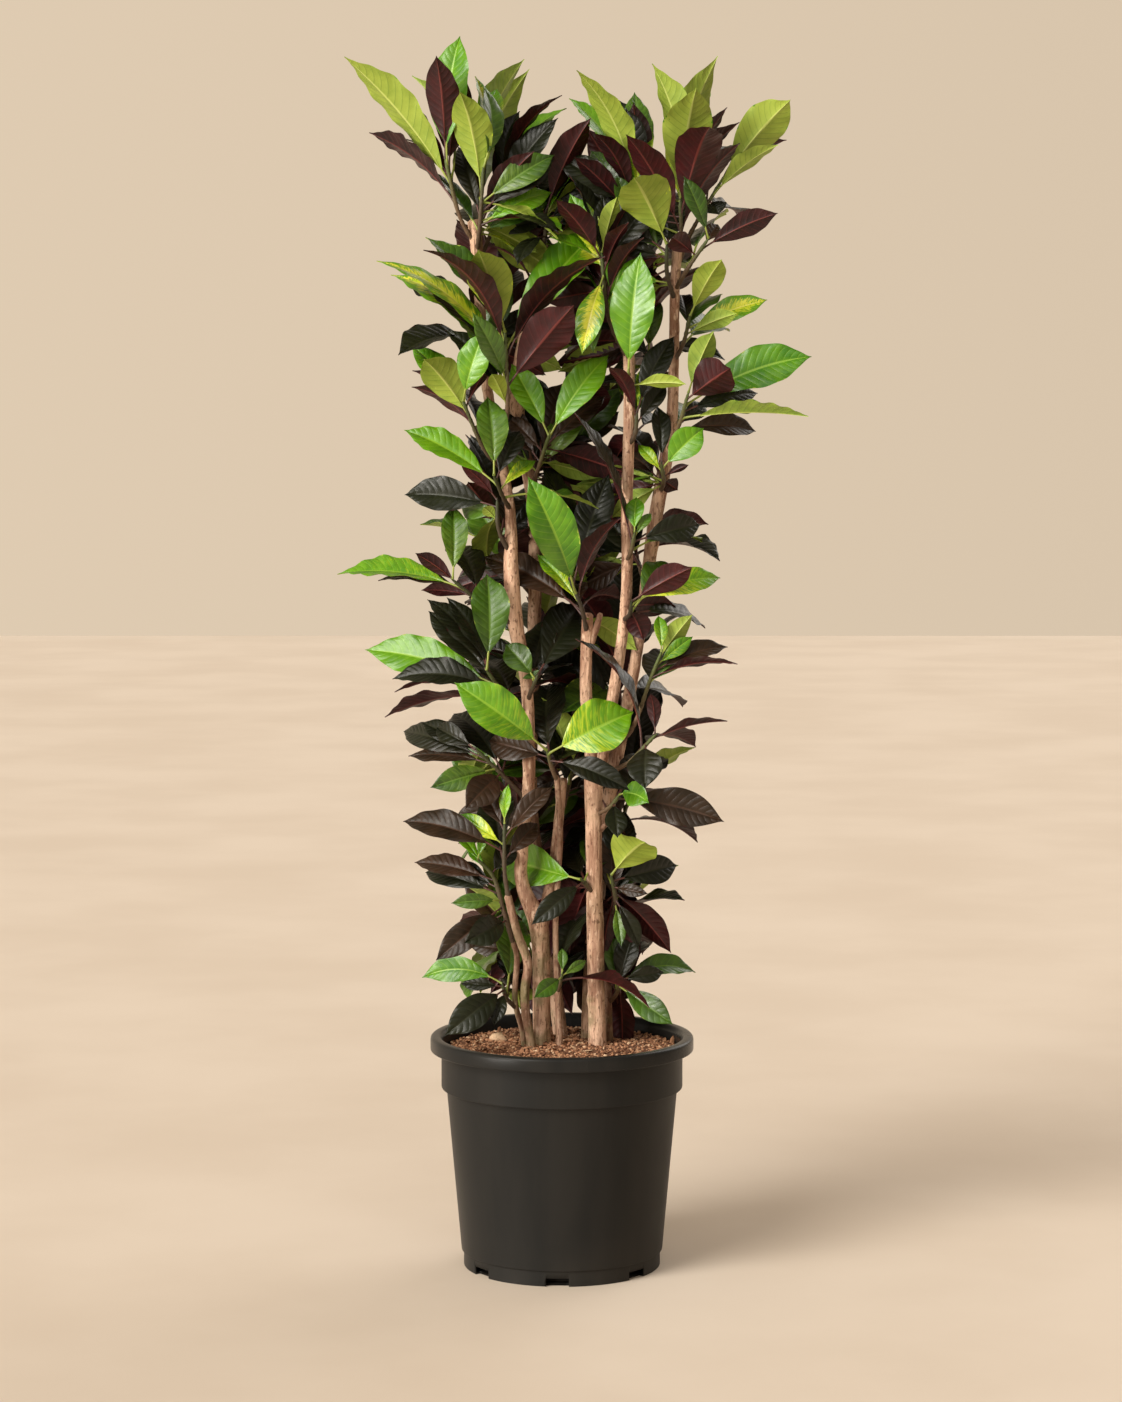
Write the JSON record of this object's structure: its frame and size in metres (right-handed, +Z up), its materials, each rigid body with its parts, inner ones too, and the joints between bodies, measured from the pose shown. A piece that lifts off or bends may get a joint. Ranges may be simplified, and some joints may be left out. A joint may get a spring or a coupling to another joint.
{
  "type": "potted croton",
  "caption": "Tall potted foliage plant with several woody stems and broad glossy leaves, growing in a round stepped nursery pot of black plastic.",
  "frame": {"origin": "middle of the pot's flat underside, on the floor", "axes": "+Z up along the stems, -Y towards the viewer of the picture, +X to that viewer's right"},
  "size_m": [0.73, 0.6017, 1.9],
  "materials": {
    "pot_plastic": "satin",
    "potting_mix": "loose crumbs",
    "bark": "rough",
    "leaf": "glossy above, matte below"
  },
  "bodies": {
    "root": {"pot": "pot_plastic", "potting_mix": "potting_mix", "stem_main_left": "bark", "stem_main_right": "bark", "stem_back_right": "bark", "stem_back_left": "bark", "stem_front_left": "bark", "stem_far_left": "bark", "stem_right": "bark", "stem_centre": "bark", "leafy_shoot_01": "leaf", "leafy_shoot_02": "leaf", "leafy_shoot_03": "leaf", "leafy_shoot_04": "leaf", "leafy_shoot_05": "leaf", "leafy_shoot_06": "leaf", "leafy_shoot_07": "leaf", "leafy_shoot_08": "leaf", "leafy_shoot_09": "leaf", "leafy_shoot_10": "leaf", "leafy_shoot_11": "leaf", "leafy_shoot_12": "leaf", "leafy_shoot_13": "leaf", "leafy_shoot_14": "leaf", "leafy_shoot_15": "leaf", "leafy_shoot_16": "leaf", "leafy_shoot_17": "leaf", "leafy_shoot_18": "leaf", "leafy_shoot_19": "leaf", "leafy_shoot_20": "leaf", "leafy_shoot_21": "leaf", "leafy_shoot_22": "leaf", "leafy_shoot_23": "leaf", "leafy_shoot_24": "leaf", "leafy_shoot_25": "leaf", "leafy_shoot_26": "leaf", "leafy_shoot_27": "leaf", "leafy_shoot_28": "leaf", "leafy_shoot_29": "leaf", "leafy_shoot_30": "leaf", "leafy_shoot_31": "leaf", "leafy_shoot_32": "leaf", "leafy_shoot_33": "leaf", "leafy_shoot_34": "leaf", "leafy_shoot_35": "leaf", "leafy_shoot_36": "leaf", "leafy_shoot_37": "leaf", "leafy_shoot_38": "leaf", "leafy_shoot_39": "leaf", "leafy_shoot_40": "leaf", "leafy_shoot_41": "leaf", "leafy_shoot_42": "leaf", "leafy_shoot_43": "leaf", "leafy_shoot_44": "leaf", "leafy_shoot_45": "leaf", "leafy_shoot_46": "leaf", "leafy_shoot_47": "leaf", "leafy_shoot_48": "leaf", "leafy_shoot_49": "leaf", "leafy_shoot_50": "leaf"}
  },
  "joints": []
}
